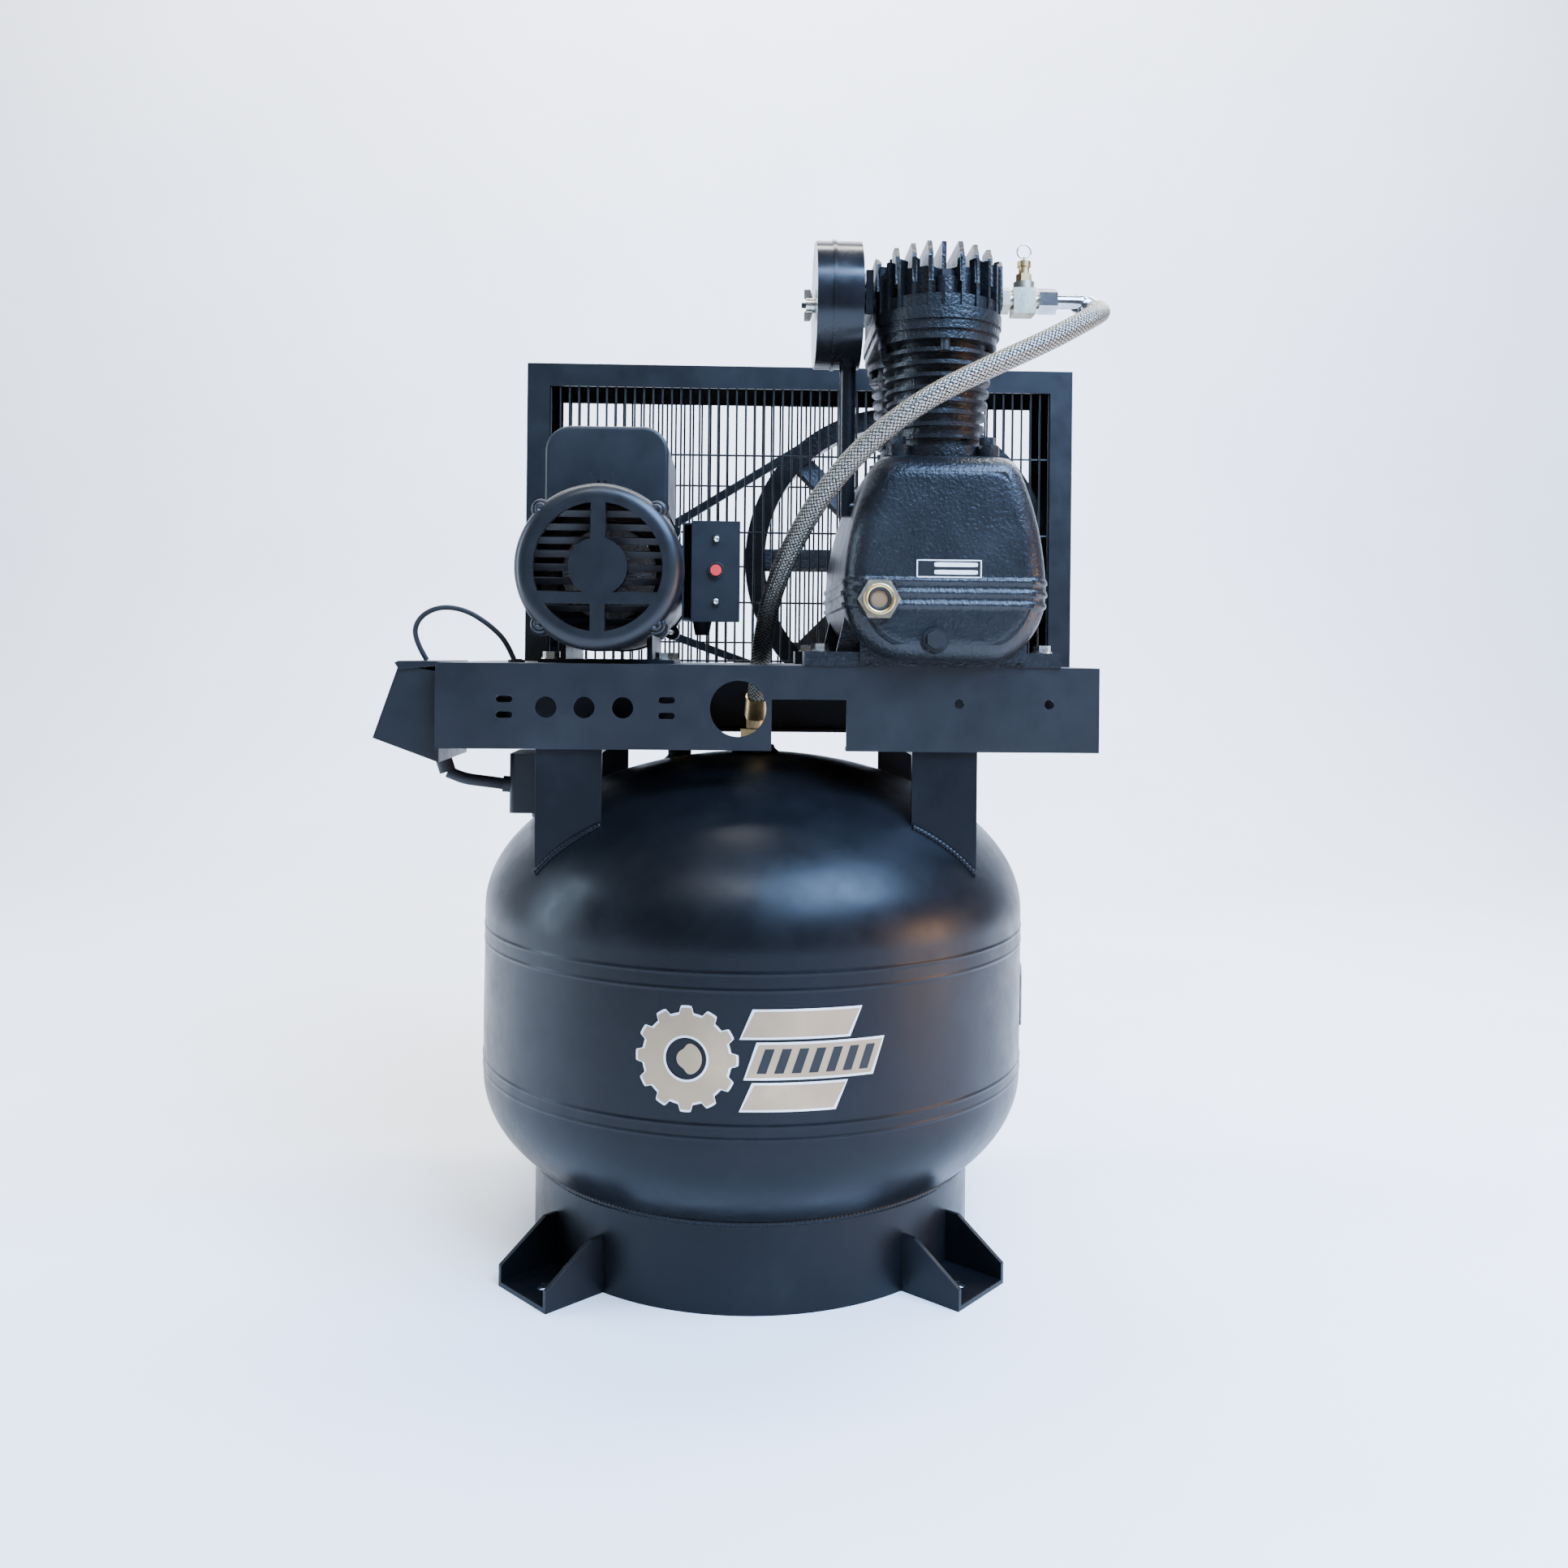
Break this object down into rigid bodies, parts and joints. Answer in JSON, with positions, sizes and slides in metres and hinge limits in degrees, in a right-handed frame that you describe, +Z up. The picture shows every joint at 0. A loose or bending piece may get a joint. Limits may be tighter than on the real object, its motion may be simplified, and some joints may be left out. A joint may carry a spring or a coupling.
{
  "type": "air compressor",
  "caption": "Vertical-tank, belt-driven piston air compressor: motor and twin-cylinder pump on a platform over a round receiver, with a wire belt guard and a braided discharge hose.",
  "frame": {"origin": "centre of the four anchor holes at floor level, on the tank's axis", "axes": "+Z up along the tank, +X to the right seen from the front, -Y towards the front (the belt guard is at the back)"},
  "size_m": [0.81, 0.674, 1.1011],
  "materials": {
    "satin_black_steel": "satin powder coat",
    "black_wire": "semi-gloss paint",
    "black_cast_iron": "painted casting",
    "valve_steel": "machined",
    "stator_steel": "varnished",
    "piston_alloy": "machined",
    "dark_bolts": "painted",
    "zinc": "bright zinc",
    "filter_black": "gloss paint",
    "brass": "turned",
    "braided_steel": "braided wire",
    "sight_glass": "clear over oil",
    "orange_plastic": "gloss",
    "red_plastic": "gloss",
    "rubber": "matt",
    "gauge": "painted case"
  },
  "bodies": {
    "machine": {"tank_shell": "satin_black_steel", "tank_top_head": "satin_black_steel", "tank_bottom_head": "satin_black_steel", "base_ring": "satin_black_steel", "foot_brackets": "satin_black_steel", "platform": "satin_black_steel", "platform_legs": "satin_black_steel", "guard_frame": "satin_black_steel", "starter_box": "satin_black_steel", "capacitor_cover": "satin_black_steel", "motor_frame": "satin_black_steel", "terminal_box": "satin_black_steel", "terminal_cover": "satin_black_steel", "guard_grilles": "black_wire", "crankcase": "black_cast_iron", "bearing_carrier": "black_cast_iron", "cylinders": "black_cast_iron", "cylinder_head": "black_cast_iron", "motor_front_bell": "black_cast_iron", "motor_rear_bell": "black_cast_iron", "crankcase_drain_plug": "black_cast_iron", "valve_plate": "valve_steel", "ball_bearings": "valve_steel", "stator_core": "stator_steel", "motor_louvre": "stator_steel", "head_bolts": "dark_bolts", "motor_bolts": "dark_bolts", "mounting_bolts": "zinc", "hose_fittings": "zinc", "filter_base": "filter_black", "filter_cover": "filter_black", "breather_tube": "filter_black", "pressure_switch": "filter_black", "check_valve": "brass", "relief_valves": "brass", "sight_glass_bezel": "brass", "outlet_valve": "brass", "drain_cock": "brass", "discharge_tee": "brass", "discharge_hose": "braided_steel", "sight_glass_lens": "sight_glass", "oil_fill_plug": "orange_plastic", "drive_belt": "rubber", "starter_cable": "rubber", "switch_conduit": "rubber", "cable_grips": "rubber", "pressure_gauge": "gauge"},
    "crank_assembly": {"crankshaft": "valve_steel", "flywheel": "black_cast_iron"},
    "rotor_assembly": {"motor_rotor": "valve_steel", "motor_pulley": "black_cast_iron"},
    "front_piston": {"piston_front": "piston_alloy"},
    "rear_piston": {"piston_rear": "piston_alloy"},
    "wing_nut_body": {"wing_nut": "zinc"},
    "reset_button_body": {"reset_button": "red_plastic"},
    "head_relief_ring": {"relief_ring_head": "zinc"},
    "tank_relief_ring": {"relief_ring_tank": "zinc"},
    "switch_lever_body": {"switch_lever": "red_plastic"},
    "outlet_lever_body": {"outlet_lever": "zinc"},
    "drain_handle_body": {"drain_handle": "brass"}
  },
  "joints": [
    {"name": "flywheel_spin", "type": "hinge", "parent": "machine", "child": "crank_assembly", "pos_m": [0.19, 0.248, 0.775], "axis": [0, 1, 0], "continuous": true},
    {"name": "motor_spin", "type": "hinge", "parent": "machine", "child": "rotor_assembly", "pos_m": [-0.165, 0.248, 0.737], "axis": [0, 1, 0], "continuous": true},
    {"name": "piston_front_slide", "type": "slide", "parent": "machine", "child": "front_piston", "axis": [0, 0, 1], "range_m": [-0.05, 0]},
    {"name": "piston_rear_slide", "type": "slide", "parent": "machine", "child": "rear_piston", "axis": [0, 0, 1], "range_m": [0, 0.05]},
    {"name": "wing_nut_spin", "type": "hinge", "parent": "machine", "child": "wing_nut_body", "pos_m": [0.05, -0.1, 1.029], "axis": [1, 0, 0], "continuous": true},
    {"name": "reset_button_press", "type": "slide", "parent": "machine", "child": "reset_button_body", "axis": [0, 1, 0], "range_m": [0, 0.0025], "stiffness_N_per_m": 400, "springref_m": -0.001},
    {"name": "head_relief_pull", "type": "slide", "parent": "machine", "child": "head_relief_ring", "axis": [0, 0, 1], "range_m": [0, 0.003], "stiffness_N_per_m": 1500, "springref_m": -0.001},
    {"name": "tank_relief_pull", "type": "slide", "parent": "machine", "child": "tank_relief_ring", "axis": [0, 0, 1], "range_m": [0, 0.003], "stiffness_N_per_m": 1500, "springref_m": -0.001},
    {"name": "switch_lever_turn", "type": "hinge", "parent": "machine", "child": "switch_lever_body", "pos_m": [-0.216, 0, 0.51], "axis": [1, 0, 0], "range_deg": [0, 50]},
    {"name": "outlet_lever_turn", "type": "hinge", "parent": "machine", "child": "outlet_lever_body", "pos_m": [0, 0.345, 0.324], "axis": [0, 0, 1], "range_deg": [0, 90]},
    {"name": "drain_handle_turn", "type": "hinge", "parent": "machine", "child": "drain_handle_body", "pos_m": [0, 0.271, 0.027], "axis": [0, 0, 1], "range_deg": [0, 90]}
  ],
  "couplings": [
    {"joint": "motor_spin", "follows": "flywheel_spin", "ratio": 4.6047},
    {"joint": "piston_rear_slide", "follows": "piston_front_slide", "ratio": -1}
  ]
}
